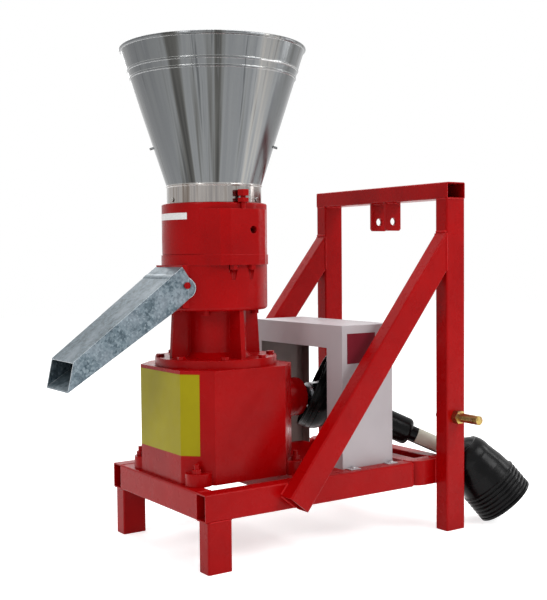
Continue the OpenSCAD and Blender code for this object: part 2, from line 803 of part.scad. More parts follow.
module lower_chamber() color(red) head() difference() {
    union() {
        rotate_extrude() lower_profile();
        boss(belt_z, belt_tall);
        difference() {
            translate([-chamber_r, -outlet_half, chamber_z + edge_round])
                cube([chamber_r / 2, 2 * outlet_half, belt_z - chamber_z - edge_round]);
            translate([0, 0, chamber_z]) cylinder(r = chamber_bore_r, h = chamber_tall);
        }
    }
    outlet_cut();
    at_clamps() {
        translate([0, 0, belt_z - pocket_tall]) cylinder(r1 = pocket_foot_r, r2 = pocket_r, h = pocket_tall);
        translate([0, 0, belt_z - over]) cylinder(r = clamp_r + bolt_clear, h = belt_tall + 2 * over);
    }
    at_floor(floor_screw_pitch_r) {
        translate([0, 0, chamber_z - over]) cylinder(r = floor_screw_r + bolt_clear, h = floor_thick);
        translate([0, 0, floor_head_z]) cylinder(r = floor_screw_head_r + bolt_clear, h = floor_thick);
    }
    at_floor(floor_plug_pitch_r) translate([0, 0, chamber_z - over])
        cylinder(r = clamp_r + fit, h = floor_thick + 2 * over);
    translate([chute_pin_x - head_x, 0, chute_pin_z]) both_sides() translate([0, -chute_wide / 2, 0])
        rotate([-90, 0, 0]) cylinder(r = chute_bolt_r - thread_step + fit, h = chute_bolt_long);
}
module chamber_bolts() color(red) head() {
    at_clamps() {
        translate([0, 0, belt_z - clamp_tail]) cylinder(r = clamp_r, h = clamp_tail + clamp_grip);
        translate([0, 0, belt_z - clamp_head]) hexagon(clamp_hex, clamp_head);
    }
    at_floor(floor_screw_pitch_r) translate([0, 0, floor_head_z]) {
        cylinder(r = floor_screw_head_r, h = floor_screw_head);
        translate([0, 0, -floor_screw_long]) cylinder(r = floor_screw_r, h = floor_screw_long);
    }
    at_floor(floor_plug_pitch_r) translate([0, 0, chamber_z]) {
        cylinder(r = clamp_r, h = floor_thick);
        translate([0, 0, -clamp_head]) hexagon(clamp_hex, clamp_head);
    }
}

module upper_profile() difference() {
    union() {
        translate([0, seam_z]) square([ring_r - seam_deep, ring_tall / 2]);
        translate([0, seam_z + seam_tall]) square([ring_r, ring_tall - edge_round / 2 - seam_tall]);
        translate([0, seam_z]) square([ring_r - edge_round / 2, ring_tall]);
        translate([ring_r - edge_round / 2, ring_top - edge_round / 2]) circle(edge_round / 2);
        translate([0, ring_top - over]) square([collar_r - hopper_sheet - slip, spigot_tall + over]);
    }
    translate([0, seam_z - over]) square([chamber_bore_r, ring_tall + spigot_tall + 2 * over]);
}
module upper_chamber() color(red) head() difference() {
    union() {
        rotate_extrude() upper_profile();
        boss(seam_z, boss_top - seam_z);
    }
    // slots of the axle blocks
    both_sides() translate([-block_wide / 2 - fit, slot_from, axle_z - block_tall / 2 - slip])
        cube([block_wide + 2 * fit, block_out + slip - slot_from, block_tall + lift + 2 * slip]);
    // ways of the adjusting bolts
    both_sides() translate([0, adjust_y, axle_z]) cylinder(r = adjust_r + fit, h = ring_tall);
    at_clamps() translate([0, 0, seam_z - over])
        cylinder(r = clamp_r + fit, h = clamp_grip - belt_tall + 2 * over);
    translate([peep_x, 0, seam_z + peep_z]) rotate([90, 0, 0])
        cylinder(r = peep_r, h = 2 * boss_face + 2 * over, center = true);
    at_collar_screws() cylinder(r = collar_screw_r - thread_step + fit, h = collar_r);
}

module hole_ring(r) {
    count = floor(2 * PI * r / hole_spacing);
    for (i = [0 : count - 1]) rotate([0, 0, i * 360 / count]) translate([r, 0, -over])
        cylinder(r = pellet_r, h = die_thick + 2 * over, $fn = 24);
}
module flat_die() color(steel) head() translate([0, 0, die_z]) difference() {
    cylinder(r = die_r, h = die_thick);
    translate([0, 0, -over]) cylinder(r = die_spigot_r + fit, h = die_thick + 2 * over);
    for (k = [0 : hole_rings - 1]) hole_ring(hole_ring_r + k * hole_ring_step);
}
module die_nut() color(steel) head() translate([0, 0, die_top]) difference() {
    hexagon(die_nut_hex, die_nut_tall);
    translate([0, 0, -over]) cylinder(r = die_spigot_r + fit, h = die_nut_tall + 2 * over);
}
module sweeper() color(steel) head() translate([0, 0, chamber_z + floor_thick + sweeper_rise]) difference() {
    union() {
        cylinder(r = sweeper_r, h = sweeper_thick);
        cylinder(r = sweeper_hub_r, h = sweeper_hub_tall);
        for (i = [0 : 2]) rotate([0, 0, i * 120]) translate([0, -sweeper_blade_thick / 2, 0])
            cube([sweeper_r - sweeper_inset, sweeper_blade_thick, sweeper_blade_tall]);
    }
    translate([0, 0, -over]) cylinder(r = spindle_r + fit, h = sweeper_blade_tall + 2 * over);
}

module at_axle() head() translate([0, 0, axle_z]) children();
module roller_axle() color(steel) at_axle() {
    rotate([90, 0, 0]) cylinder(r = axle_r, h = 2 * (block_out - block_long) + over, center = true);
    rotate([90, 0, 0]) cylinder(r = bush_r, h = 2 * (roller_y - slip), center = true);
    both_sides() translate([-block_wide / 2, block_out - block_long, -block_tall / 2])
        cube([block_wide, block_long, block_tall]);
}
module roller() rotate([90, 0, 0]) translate([0, 0, roller_y]) difference() {
    cylinder(r = roller_r, h = roller_wide);
    translate([0, 0, -over]) cylinder(r = bush_r + fit, h = roller_wide + 2 * over);
    for (i = [0 : roller_flutes - 1]) rotate([0, 0, i * 360 / roller_flutes])
        translate([roller_r + flute_out, 0, -over]) cylinder(r = flute_r, h = roller_wide + 2 * over, $fn = 24);
}
module roller_right() color(steel) at_axle() roller();
module roller_left() color(steel) at_axle() mirror([0, 1, 0]) roller();
module roller_bearings() color(gold) at_axle() both_sides() rotate([90, 0, 0]) {
    translate([0, 0, roller_y]) ring(bush_r, axle_r + fit, bush_long);
    translate([0, 0, roller_y + roller_wide - bush_long]) ring(bush_r, axle_r + fit, bush_long);
}
stem_foot = axle_z + block_tall / 2;
stem_top = ring_top + lock_nut + stem_rise;
module adjusting_bolts() color(red) head() both_sides() translate([0, adjust_y, stem_foot])
    bolt(adjust_r, stem_top - stem_foot, adjust_hex, adjust_head);
module adjusting_nuts() color(red) head() both_sides() translate([0, adjust_y, ring_top]) difference() {
    hexagon(adjust_hex, lock_nut);
    translate([0, 0, -over]) cylinder(r = adjust_r + fit, h = lock_nut + 2 * over);
}

// The hopper
cone_lean = atan((hopper_r - collar_r) / hopper_tall);
sheet_across = hopper_sheet / cos(cone_lean);
module bead(share) translate([collar_r + share * (hopper_r - collar_r) - sheet_across / 2,
    cone_z + share * hopper_tall]) circle(bead_r, $fn = 24);
module hopper_profile() {
    translate([collar_r - hopper_sheet, collar_z]) square([hopper_sheet, collar_tall]);
    translate([collar_r - hopper_sheet / 2, cone_z]) circle(bead_r, $fn = 24);
    polygon([[collar_r - sheet_across, cone_z], [collar_r, cone_z], [hopper_r, cone_top],
        [hopper_r - sheet_across, cone_top]]);
    for (s = bead_shares) bead(s);
    translate([hopper_r - sheet_across / 2, cone_top]) circle(rim_r, $fn = 24);
}
module at_collar_screws() for (i = [0 : collar_screw_count - 1])
    rotate([0, 0, 180 + i * 360 / collar_screw_count])
        translate([collar_r, 0, collar_z + spigot_tall / 2]) rotate([0, -90, 0]) children();
module hopper() color(zinc) head() difference() {
    rotate_extrude() hopper_profile();
    at_collar_screws() translate([0, 0, -over]) cylinder(r = collar_screw_r + fit, h = hopper_sheet + 2 * over);
}
module collar_screws() color(zinc) head() at_collar_screws() {
    cylinder(r = collar_screw_r - thread_step, h = collar_r - chamber_bore_r);
    cylinder(r = collar_screw_r, h = hopper_sheet);
    translate([0, 0, -collar_screw_head]) cylinder(r = collar_screw_head_r, h = collar_screw_head);
}
side_pin_share = side_pin_rise / hopper_tall;
module hopper_side_pins() color(zinc) head() for (turn = [side_pin_turn, side_pin_turn + 180])
    rotate([0, 0, turn]) translate([collar_r + side_pin_share * (hopper_r - collar_r) + slip, 0,
        cone_z + side_pin_rise]) rotate([0, 90 + cone_lean, 0]) cylinder(r = side_pin_r, h = side_pin_long);

// The chute
chute_top_lean = atan((chute_points[0][1] - chute_points[1][1]) / (chute_points[0][0] - chute_points[1][0]));
chute_low_lean = atan((chute_points[3][1] - chute_points[2][1]) / (chute_points[3][0] - chute_points[2][0]));
function top_at(x) = chute_points[0][1] + (x - chute_points[0][0]) * tan(chute_top_lean);
function low_at(x) = chute_points[3][1] + (x - chute_points[3][0]) * tan(chute_low_lean);
module at_chute() home() translate([chute_pin_x, 0, chute_pin_z]) children();
module chute_side() {
    middle = [-chute_tab_back, -chute_tab_drop];
    polygon(chute_points);
    translate(middle) circle(chute_tab_r);
    polygon([chute_points[0], middle + chute_tab_r * [cos(tab_high_turn), sin(tab_high_turn)],
        middle + chute_tab_r * [cos(tab_low_turn), sin(tab_low_turn)], chute_points[3]]);
}
module chute_hollow_side() {
    back = chute_tab_r;
    front = -chute_reach - over;
    up = chute_sheet / cos(chute_top_lean);
    low = chute_sheet / cos(chute_low_lean);
    polygon([[back, top_at(back) - up], [front, top_at(front) - up], [front, low_at(front) + low],
        [back, low_at(back) + low]]);
    polygon([chute_points[0], [back, top_at(back)], [back, -chute_fall], [chute_points[3][0], -chute_fall],
        chute_points[3]]);
}
module chute_plan(skin) {
    rear = chute_wide / 2 - skin;
    front = chute_mouth_wide / 2 - skin;
    polygon([[chute_tab_r, -rear], [0, -rear], [-chute_reach - over, -front], [-chute_reach - over, front],
        [0, rear], [chute_tab_r, rear]]);
}
module side_solid() rotate([90, 0, 0]) linear_extrude(chute_wide + 2 * over, center = true) children();
module plan_solid() translate([0, 0, -chute_fall - over]) linear_extrude(2 * chute_fall) children();
wall_end = head_x - sqrt(pow(chamber_r + hug_gap, 2) - pow(chute_wide / 2 - chute_sheet, 2)) - chute_pin_x;
// flared ends of the side tabs, round the chamber
module chute_flare() intersection() {
    translate([head_x - chute_pin_x, 0, -chute_tab_drop - chute_tab_r - over])
        ring(chamber_r + hug_gap + chute_sheet, chamber_r + hug_gap, 2 * chute_tab_r + 2 * over);
    translate([-chute_tab_back, 0, -chute_tab_drop]) rotate([90, 0, 0])
        cylinder(r = chute_tab_r, h = 2 * chamber_r, center = true);
    both_sides() translate([wall_end - chute_sheet, chute_wide / 2 - chute_sheet / 2, -chute_reach])
        cube([chamber_r, chamber_r, 2 * chute_reach]);
}
module chute() color(zinc) at_chute() difference() {
    union() {
        difference() {
            intersection() {
                side_solid() chute_side();
                plan_solid() chute_plan(0);
            }
            intersection() {
                side_solid() chute_hollow_side();
                plan_solid() chute_plan(chute_sheet);
            }
            translate([wall_end, -chamber_r, -chamber_r]) cube(2 * chamber_r);
        }
        chute_flare();
    }
    both_sides() translate([0, chute_wide / 2, 0]) rotate([-90, 0, 0])
        cylinder(r = chute_bolt_head_r + slip, h = chamber_r);
    rotate([90, 0, 0]) cylinder(r = chute_bolt_r + fit, h = chute_wide + 2 * over, center = true);
}
module chute_bolts() color(red) at_chute() both_sides() translate([0, -chute_wide / 2 - slip / 2, 0])
    rotate([-90, 0, 0]) {
        cylinder(r = chute_bolt_r - thread_step, h = chute_bolt_long - over);
        cylinder(r = chute_bolt_r, h = chute_sheet);
        translate([0, 0, -chute_bolt_head]) cylinder(r = chute_bolt_head_r, h = chute_bolt_head);
    }

// The guard box
box_half = box_wide / 2;
module box_panel() difference() {
    translate([0, -box_half, 0]) cube([box_sheet, box_wide, box_tall]);
    translate([-over, -box_half + box_margin_right, -over])
        cube([box_sheet + 2 * over, box_wide - box_margin_right - box_margin_left, box_tall - box_brow + over]);
}
module at_box_feet() for (s = box_foot_shares, j = [-1, 1])
    translate([s * box_long, j * (box_half + box_foot_wide / 2), 0]) children();
module guard_box() color(white) home() translate([box_x, 0, rail_top]) difference() {
    union() {
        translate([0, -box_half, box_tall - box_sheet]) cube([box_long, box_wide, box_sheet]);
        both_sides() translate([0, -box_half, 0]) cube([box_long, box_sheet, box_tall]);
        box_panel();
        translate([box_long - box_sheet, 0, 0]) box_panel();
        at_box_feet() translate([-box_foot_long / 2, -box_foot_wide / 2 - over, 0])
            cube([box_foot_long, box_foot_wide + 2 * over, box_sheet]);
    }
    at_box_feet() translate([0, 0, -over]) cylinder(r = guard_screw_r + fit, h = box_sheet + 2 * over);
}
module guard_screws() color(zinc) home() translate([box_x, 0, rail_top + box_sheet]) at_box_feet() {
    hexagon(guard_screw_hex, guard_screw_head);
    translate([0, 0, -box_sheet]) cylinder(r = guard_screw_r, h = box_sheet);
}

// The driveline
// fork whose pin line is local x, opening towards -z, with its plate above the throat
module fork() {
    ear_out = yoke_half + ear_thick;
    for (s = [-1, 1]) scale([s, 1, 1]) translate([yoke_half, 0, 0]) rotate([0, 90, 0]) {
        linear_extrude(ear_thick) {
            circle(ear_r);
            translate([-yoke_throat - over, -ear_r]) square([yoke_throat + over, 2 * ear_r]);
        }
        cylinder(r = cap_r, h = ear_thick + cap_out);
    }
    translate([0, 0, yoke_throat]) cylinder(r = ear_out, h = yoke_plate);
}
// cross with its stubs along local z and y
module spider() intersection() {
    union() {
        cylinder(r = stub_pin_r, h = 2 * cross_reach, center = true);
        rotate([90, 0, 0]) cylinder(r = stub_pin_r, h = 2 * cross_reach, center = true);
        sphere(cross_core_r);
    }
    sphere(cross_reach);
}
module input_yoke() color(steel) on_input() mirror([0, 0, 1]) difference() {
    union() {
        fork();
        translate([0, 0, yoke_throat]) cylinder(r = yoke_hub_r, h = cross_x - input_hub_x - yoke_throat);
    }
    translate([0, 0, cross_x - input_hub_x - yoke_throat / 2 - over])
        cylinder(r = shaft_r + fit, h = yoke_throat);
}
module inner_cross() color(steel) home() translate([cross_x, 0, input_z]) rotate([0, 0, -drive_swing]) spider();
module outer_profile_tube() color(steel) on_drive() difference() {
    union() {
        rotate([0, 0, 90]) fork();
        translate([0, 0, yoke_throat]) cylinder(r = profile_hub_r, h = profile_hub_end - yoke_throat);
        translate([0, 0, yoke_throat]) cylinder(r = profile_r, h = profile_end - yoke_throat);
    }
    translate([0, 0, profile_bore_from]) cylinder(r = bar_r + fit, h = profile_end - profile_bore_from + over);
}
module inner_bell() color(black) on_drive() rotate_extrude() {
    neck_r2 = guard_r + fit;
    polygon([[near_bell_r - guard_wall, -near_mouth], [near_bell_r, -near_mouth],
        [neck_r2 + guard_wall, near_neck_from], [neck_r2 + guard_wall, near_neck_to],
        [neck_r2, near_neck_to], [neck_r2, near_neck_from]]);
    translate([near_bell_r - near_lip, -near_mouth]) square([near_lip, near_lip]);
}
module guard_tube_outer() color(black) on_drive() rotate_extrude() difference() {
    union() {
        translate([0, guard_from]) square([guard_r, guard_to - guard_from - guard_end]);
        translate([0, guard_from]) square([guard_r - guard_end, guard_to - guard_from]);
        translate([guard_r - guard_end, guard_to - guard_end]) circle(guard_end);
    }
    translate([0, guard_from - over]) square([guard_r - guard_wall, guard_ring_from - guard_from + over]);
    translate([0, guard_ring_to]) square([guard_r - guard_wall, guard_to - guard_end - guard_ring_to]);
    translate([0, guard_from - over]) square([profile_r + slip, guard_to - guard_from + 2 * over]);
    translate([0, guard_to - guard_end - over]) square([slim_r + slip, guard_end + 2 * over]);
}
module guard_tube_inner() color(black) on_drive() rotate_extrude() {
    bore = slim_r - guard_wall;
    bush_z = drive_long - slim_bush_back;
    difference() {
        union() {
            translate([0, slim_from]) square([slim_r, drive_long - ball_r + 2 * ball_wall - slim_from]);
            translate([0, slim_from]) square([guard_r - guard_wall - slip, slim_ring]);
        }
        translate([0, slim_from - over]) square([bore, drive_long - slim_from]);
    }
    translate([bar_r + slip, bush_z]) square([bore - bar_r - slip + over, slim_bush]);
}
module guard_ball() color(black) on_drive() rotate_extrude() difference() {
    union() {
        intersection() {
            translate([0, drive_long]) circle(ball_r);
            translate([0, drive_long - ball_r]) square(ball_r);
        }
        translate([0, drive_long - ball_r - ball_collar])
            square([slim_r + fit + ball_collar_wall, ball_collar + 3 * ball_wall]);
    }
    translate([0, drive_long - ball_r - ball_collar - over])
        square([slim_r + fit, ball_collar + 3 * ball_wall + over]);
    translate([0, drive_long]) circle(ball_r - ball_wall);
}
module inner_profile_shaft() color(steel) on_drive() {
    translate([0, 0, drive_long]) rotate([180, 0, 0]) {
        rotate([0, 0, 90]) fork();
        translate([0, 0, yoke_throat]) cylinder(r = bar_hub_r, h = yoke_plate + bar_hub_long);
    }
    translate([0, 0, bar_from]) cylinder(r = bar_r, h = drive_long - yoke_throat - bar_from);
}
module outer_cross() color(steel) on_tail() rotate([0, 90, 0]) spider();
module tractor_yoke() color(steel) on_tail() difference() {
    union() {
        fork();
        translate([0, 0, yoke_throat]) cylinder(r = yoke_hub_r, h = yoke_hub_end - yoke_throat);
        translate([0, 0, lock_at]) rotate([0, -90, 0]) cylinder(r = lock_boss_r, h = lock_boss_out);
    }
    translate([0, 0, yoke_bore_from]) cylinder(d = stub_d, h = yoke_hub_end - yoke_bore_from + over);
    translate([0, 0, lock_at]) rotate([0, -90, 0]) cylinder(r = lock_r + fit, h = lock_boss_out + over);
}
module lock_pin() color(gold) on_tail() translate([0, 0, lock_at]) rotate([0, -90, 0]) {
    translate([0, 0, stub_d / 2 + slip]) cylinder(r = lock_r, h = lock_out - stub_d / 2 - slip);
    translate([0, 0, lock_out]) cylinder(r = lock_head_r, h = lock_head);
}

rib_from = rib_from_share * far_bell_long;
rib_step = (far_bell_long - 2 * far_lip - rib_from) / far_bell_ribs;
shell_r = far_bell_r - rib_swell;
function dome(skin) = [for (s = dome_shares) [s[0] * far_bell_r - skin, s[1] * far_bell_long]];
module outer_bell() color(black) on_tail() rotate_extrude() difference() {
    union() {
        intersection() {
            circle(ball_r + slip + far_wall);
            translate([0, -socket_cut]) square([ball_r + slip + far_wall, socket_cut + over]);
        }
        polygon(concat([[0, 0], [ball_r + slip + far_wall, 0]], dome(0),
            [[shell_r, rib_from], [shell_r, far_bell_long], [0, far_bell_long]]));
        for (i = [0 : far_bell_ribs - 1]) translate([shell_r, rib_from + (i + 0.5) * rib_step])
            circle(rib_swell, $fn = 16);
        translate([0, far_bell_long - 2 * far_lip]) square([far_bell_r, 2 * far_lip]);
    }
    circle(ball_r + slip);
    polygon(concat([[0, 0], [ball_r + slip, 0]], dome(far_wall),
        [[shell_r - far_wall, rib_from], [shell_r - far_wall, far_bell_long + over],
            [0, far_bell_long + over]]));
}

rail_right();
rail_left();
front_crossmember();
middle_crossmember();
hitch_beam();
rear_crossmember();
leg_right();
leg_left();
upright_right();
upright_left();
top_crossbar();
brace_right();
brace_left();
top_link_clevis();
lower_link_pins();
lower_link_nuts();
gearbox_housing();
gearbox_foot_bolts();
spindle_housing();
flange_bolts();
input_bearing_nose();
input_seal();
input_shaft();
bevel_pinion();
bevel_gear();
main_spindle();
spindle_bearings();
input_bearings();
spindle_seal();
lower_chamber();
chute();
chute_bolts();
flat_die();
die_nut();
sweeper();
upper_chamber();
roller_axle();
roller_right();
roller_left();
roller_bearings();
adjusting_bolts();
adjusting_nuts();
chamber_bolts();
hopper();
collar_screws();
hopper_side_pins();
guard_box();
guard_screws();
input_yoke();
inner_cross();
outer_profile_tube();
inner_bell();
guard_tube_outer();
guard_tube_inner();
guard_ball();
inner_profile_shaft();
outer_cross();
tractor_yoke();
lock_pin();
outer_bell();
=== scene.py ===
import json
import math

import bpy
from mathutils import Matrix, Vector


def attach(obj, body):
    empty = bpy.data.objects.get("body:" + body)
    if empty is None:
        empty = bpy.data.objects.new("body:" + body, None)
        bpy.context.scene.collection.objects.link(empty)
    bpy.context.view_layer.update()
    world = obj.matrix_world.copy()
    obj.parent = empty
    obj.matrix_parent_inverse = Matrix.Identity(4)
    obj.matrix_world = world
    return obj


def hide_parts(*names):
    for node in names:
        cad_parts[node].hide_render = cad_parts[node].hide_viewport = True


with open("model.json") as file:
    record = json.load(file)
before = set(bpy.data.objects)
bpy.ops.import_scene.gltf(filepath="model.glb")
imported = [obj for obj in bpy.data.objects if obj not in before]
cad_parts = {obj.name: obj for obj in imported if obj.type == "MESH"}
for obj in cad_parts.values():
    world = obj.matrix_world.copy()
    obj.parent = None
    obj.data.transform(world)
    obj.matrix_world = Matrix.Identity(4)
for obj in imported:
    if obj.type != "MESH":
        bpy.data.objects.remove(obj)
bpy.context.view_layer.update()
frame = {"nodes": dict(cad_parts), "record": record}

# Drawing mm from the front end of the rails to the middle of the part, which is X 0 of the scene
MID_X = 341.31062


def at(x, y, z):
    """A point of the drawing, in mm from the front of the rails, as a point of the scene."""
    return Vector(((x - MID_X) / 1000, y / 1000, z / 1000))


def show(name, data):
    """A new object of the scene that holds data."""
    obj = bpy.data.objects.new(name, data)
    bpy.context.scene.collection.objects.link(obj)
    return obj


# Camera, solved from the photograph's tube corners
CAMERA_PLACE = (-1088.166, -2058.270, 676.504)
CAMERA_RIGHT = Vector((0.827476, -0.561433, -0.008718))
CAMERA_UP = Vector((0.031804, 0.031361, 0.999002))
CAMERA_AHEAD = Vector((0.560599, 0.826928, -0.043806))
cam = bpy.data.cameras.new("camera")
cam.sensor_width = 36.0
cam.lens = 61.402
cam.shift_x = 0.01252
cam.shift_y = 0.00057
cam_obj = show("camera", cam)
cam_turn = Matrix((CAMERA_RIGHT, CAMERA_UP, -CAMERA_AHEAD)).transposed()
cam_obj.matrix_world = Matrix.Translation(at(*CAMERA_PLACE)) @ cam_turn.to_4x4()
bpy.context.scene.camera = cam_obj


# Materials
def srgb(r, g, b):
    def lin(v):
        v /= 255
        return v / 12.92 if v <= 0.04045 else ((v + 0.055) / 1.055) ** 2.4
    return (lin(r), lin(g), lin(b), 1.0)


def largest(tree, sockets):
    """The largest value of the sockets."""
    most = sockets[0]
    for socket in sockets[1:]:
        node = tree.nodes.new("ShaderNodeMath")
        node.operation = "MAXIMUM"
        tree.links.new(most, node.inputs[0])
        tree.links.new(socket, node.inputs[1])
        most = node.outputs["Value"]
    return most


# Most values of a noise texture lie between these two
NOISE_LOW, NOISE_HIGH = 0.3, 0.7
# Where the ramp of a coat with more than two tones begins, and how long it is
WIDE_LOW, WIDE_SPAN = 0.25, 0.5
# Metres from the middle of the part to the upright axis of the pelleting head
HEAD_OUT = 0.178311
# Share of its half size within which a point counts as on a sheet box's outer face
FACE_NEAR = 0.001
# Cosine of the angle between the soft and the true normal, on an edge and on a flat
EDGE_COS, FLAT_COS = 0.82, 0.995


class Maker:
    """Builds a node material round one Principled shader."""

    def __init__(self, name):
        self.mat = bpy.data.materials.new(name)
        self.mat.use_nodes = True
        self.tree = self.mat.node_tree
        self.shader = self.tree.nodes["Principled BSDF"]
        self.coord = self.tree.nodes.new("ShaderNodeTexCoord").outputs["Object"]

    def fill(self, node, values):
        for key, value in values.items():
            node.inputs[key.replace("_", " ")].default_value = value
        return node

    def set(self, **values):
        """Plain values of the shader's inputs."""
        self.fill(self.shader, values)

    def add(self, kind, **values):
        """A new node, with plain values of its inputs."""
        return self.fill(self.tree.nodes.new("ShaderNode" + kind), values)

    def link(self, a, b):
        self.tree.links.new(a, b)

    def noise(self, scale, detail=3.0, rough=0.55, vector=None):
        node = self.add("TexNoise", Scale=scale, Detail=detail, Roughness=rough)
        self.link(vector or self.coord, node.inputs["Vector"])
        return node.outputs["Fac"]

    def cells(self, scale):
        """A random value for each cell of a cell texture."""
        node = self.add("TexVoronoi", Scale=scale)
        self.link(self.coord, node.inputs["Vector"])
        return node.outputs["Color"]

    def wave(self, scale, distortion):
        """Level bands, one above the other."""
        node = self.add("TexWave", Scale=scale, Distortion=distortion, Detail=2.0)
        node.bands_direction = "Z"
        self.link(self.coord, node.inputs["Vector"])
        return node.outputs["Fac"]

    def ramp(self, source, stops):
        """Colours along source; stops hold (place, sRGB colour)."""
        node = self.add("ValToRGB")
        band = node.color_ramp
        while len(band.elements) < len(stops):
            band.elements.new(0.5)
        for element, (place, colour) in zip(band.elements, stops):
            element.position = place
            element.color = srgb(*colour)
        self.link(source, node.inputs["Fac"])
        return node.outputs["Color"]

    def tones(self, source, low, high):
        """Two sRGB colours over the usual range of a noise."""
        return self.ramp(source, [(NOISE_LOW, low), (NOISE_HIGH, high)])

    def values(self, source, low, high, start=NOISE_LOW, end=NOISE_HIGH):
        """Low where source is start, high where it is end, and no further."""
        node = self.add("MapRange", From_Min=start, From_Max=end, To_Min=low, To_Max=high)
        self.link(source, node.inputs["Value"])
        return node.outputs["Result"]

    def colour(self, source):
        self.link(source, self.shader.inputs["Base Color"])

    def rough(self, source):
        self.link(source, self.shader.inputs["Roughness"])

    def blend(self, fac, a, b):
        """Mixes a with b by a factor; b is a socket or an sRGB colour."""
        node = self.add("Mix")
        node.data_type = "RGBA"
        first, second = [socket for socket in node.inputs if socket.type == "RGBA"]
        mixed = [socket for socket in node.outputs if socket.type == "RGBA"][0]
        self.link(fac, node.inputs["Factor"])
        self.link(a, first)
        if isinstance(b, tuple):
            second.default_value = srgb(*b)
        else:
            self.link(b, second)
        return mixed

    def height(self, low, high):
        """0 below low, 1 above high, in metres over the ground."""
        node = self.add("SeparateXYZ")
        self.link(self.coord, node.inputs["Vector"])
        return self.values(node.outputs["Z"], 0.0, 1.0, low, high)

    def vector_math(self, operation, source, **values):
        node = self.add("VectorMath")
        node.operation = operation
        self.link(source, node.inputs[0])
        return self.fill(node, values)

    def mapping(self, **values):
        node = self.add("Mapping", **values)
        self.link(self.coord, node.inputs["Vector"])
        return node.outputs["Vector"]

    def round_head(self, around, along):
        """A vector that runs round the head's axis, so that noise on it makes upright streaks."""
        out = self.mapping(Location=(HEAD_OUT, 0, 0), Scale=(1, 1, 0))
        unit = self.vector_math("NORMALIZE", out).outputs["Vector"]
        ring = self.vector_math("SCALE", unit, Scale=around).outputs["Vector"]
        join = self.vector_math("ADD", ring)
        self.link(self.mapping(Scale=(0, 0, along)), join.inputs[1])
        return join.outputs["Vector"]

    def outside_of(self, middle, half):
        """1 on a sheet box's outer faces, 0 on its inner ones; middle and half size in metres."""
        move = self.vector_math("SUBTRACT", self.coord)
        move.inputs[1].default_value = middle
        plain = self.vector_math("ABSOLUTE", move.outputs["Vector"])
        share = self.vector_math("DIVIDE", plain.outputs["Vector"])
        share.inputs[1].default_value = half
        parts = self.add("SeparateXYZ")
        self.link(share.outputs["Vector"], parts.inputs["Vector"])
        most = largest(self.tree, [parts.outputs[axis] for axis in "XYZ"])
        return self.values(most, 0.0, 1.0, 1 - FACE_NEAR, 1 + FACE_NEAR)

    def edges(self, radius):
        """1 on sharp edges, 0 on flats; the soft normal also goes into the shader."""
        soft = self.add("Bevel", Radius=radius)
        soft.samples = 6
        plain = self.add("NewGeometry")
        dot = self.vector_math("DOT_PRODUCT", soft.outputs["Normal"])
        self.link(plain.outputs["True Normal"], dot.inputs[1])
        self.link(soft.outputs["Normal"], self.shader.inputs["Normal"])
        return self.values(dot.outputs["Value"], 1.0, 0.0, EDGE_COS, FLAT_COS)

    def bump(self, source, depth, strength):
        """Relief of a depth in metres, on top of the normal that is there."""
        node = self.add("Bump", Strength=strength, Distance=depth)
        self.link(source, node.inputs["Height"])
        if self.shader.inputs["Normal"].is_linked:
            before = self.shader.inputs["Normal"].links[0].from_socket
            self.link(before, node.inputs["Normal"])
        self.link(node.outputs["Normal"], self.shader.inputs["Normal"])


def coat(name, tones, cloud, rough, grain, edge=None, **shader):
    """A plain coat: tones on cloud noise, with roughness and relief on finer noise.

    tones are sRGB colours, cloud is (scale, detail), rough is (scale, detail, low, high),
    grain is (scale, detail, depth, strength), and edge is the radius of soft edges.
    """
    m = Maker(name)
    if edge:
        m.edges(edge)
    if len(tones) == 2:
        m.colour(m.tones(m.noise(*cloud), *tones))
    else:
        last = len(tones) - 1
        m.colour(m.ramp(m.noise(*cloud), [(WIDE_LOW + WIDE_SPAN * i / last, tone)
                                          for i, tone in enumerate(tones)]))
    m.rough(m.values(m.noise(*rough[:2]), *rough[2:]))
    m.bump(m.noise(*grain[:2]), *grain[2:])
    m.set(**shader)
    return m.mat


def enamel(name, low, middle, high, worn_and_highlit, grain, rough):
    """Red enamel with paler edges, partly worn paint and partly a painted highlight; grain is
    (scale, depth), rough is (low, high).
    """
    m = Maker(name)
    edge = m.edges(0.0012)
    flow = m.ramp(m.noise(7.0, 5.0), [(NOISE_LOW, low), (0.5, middle), (0.72, high)])
    # painted highlight and wear: the sharp edges are blended to the paler tone
    m.colour(m.blend(edge, flow, worn_and_highlit))
    m.rough(m.values(m.noise(26.0, 4.0), *rough))
    m.bump(m.noise(grain[0], 2.0), grain[1], 0.5)
    m.set(Specular_IOR_Level=0.1)
    return m


def casting_paint():
    """The enamel on the castings, whose skin is uneven."""
    # the last colour is the edge tone: worn paint and a painted highlight
    m = enamel("casting_paint", (138, 1, 4), (150, 2, 4), (160, 3, 6), (190, 22, 26),
               grain=(120.0, 0.0006), rough=(0.2, 0.36))
    m.bump(m.noise(34.0, 4.0), 0.0008, 0.3)
    return m.mat


# Metres over the ground to the hopper collar's upper edge
COLLAR_TOP = 0.84


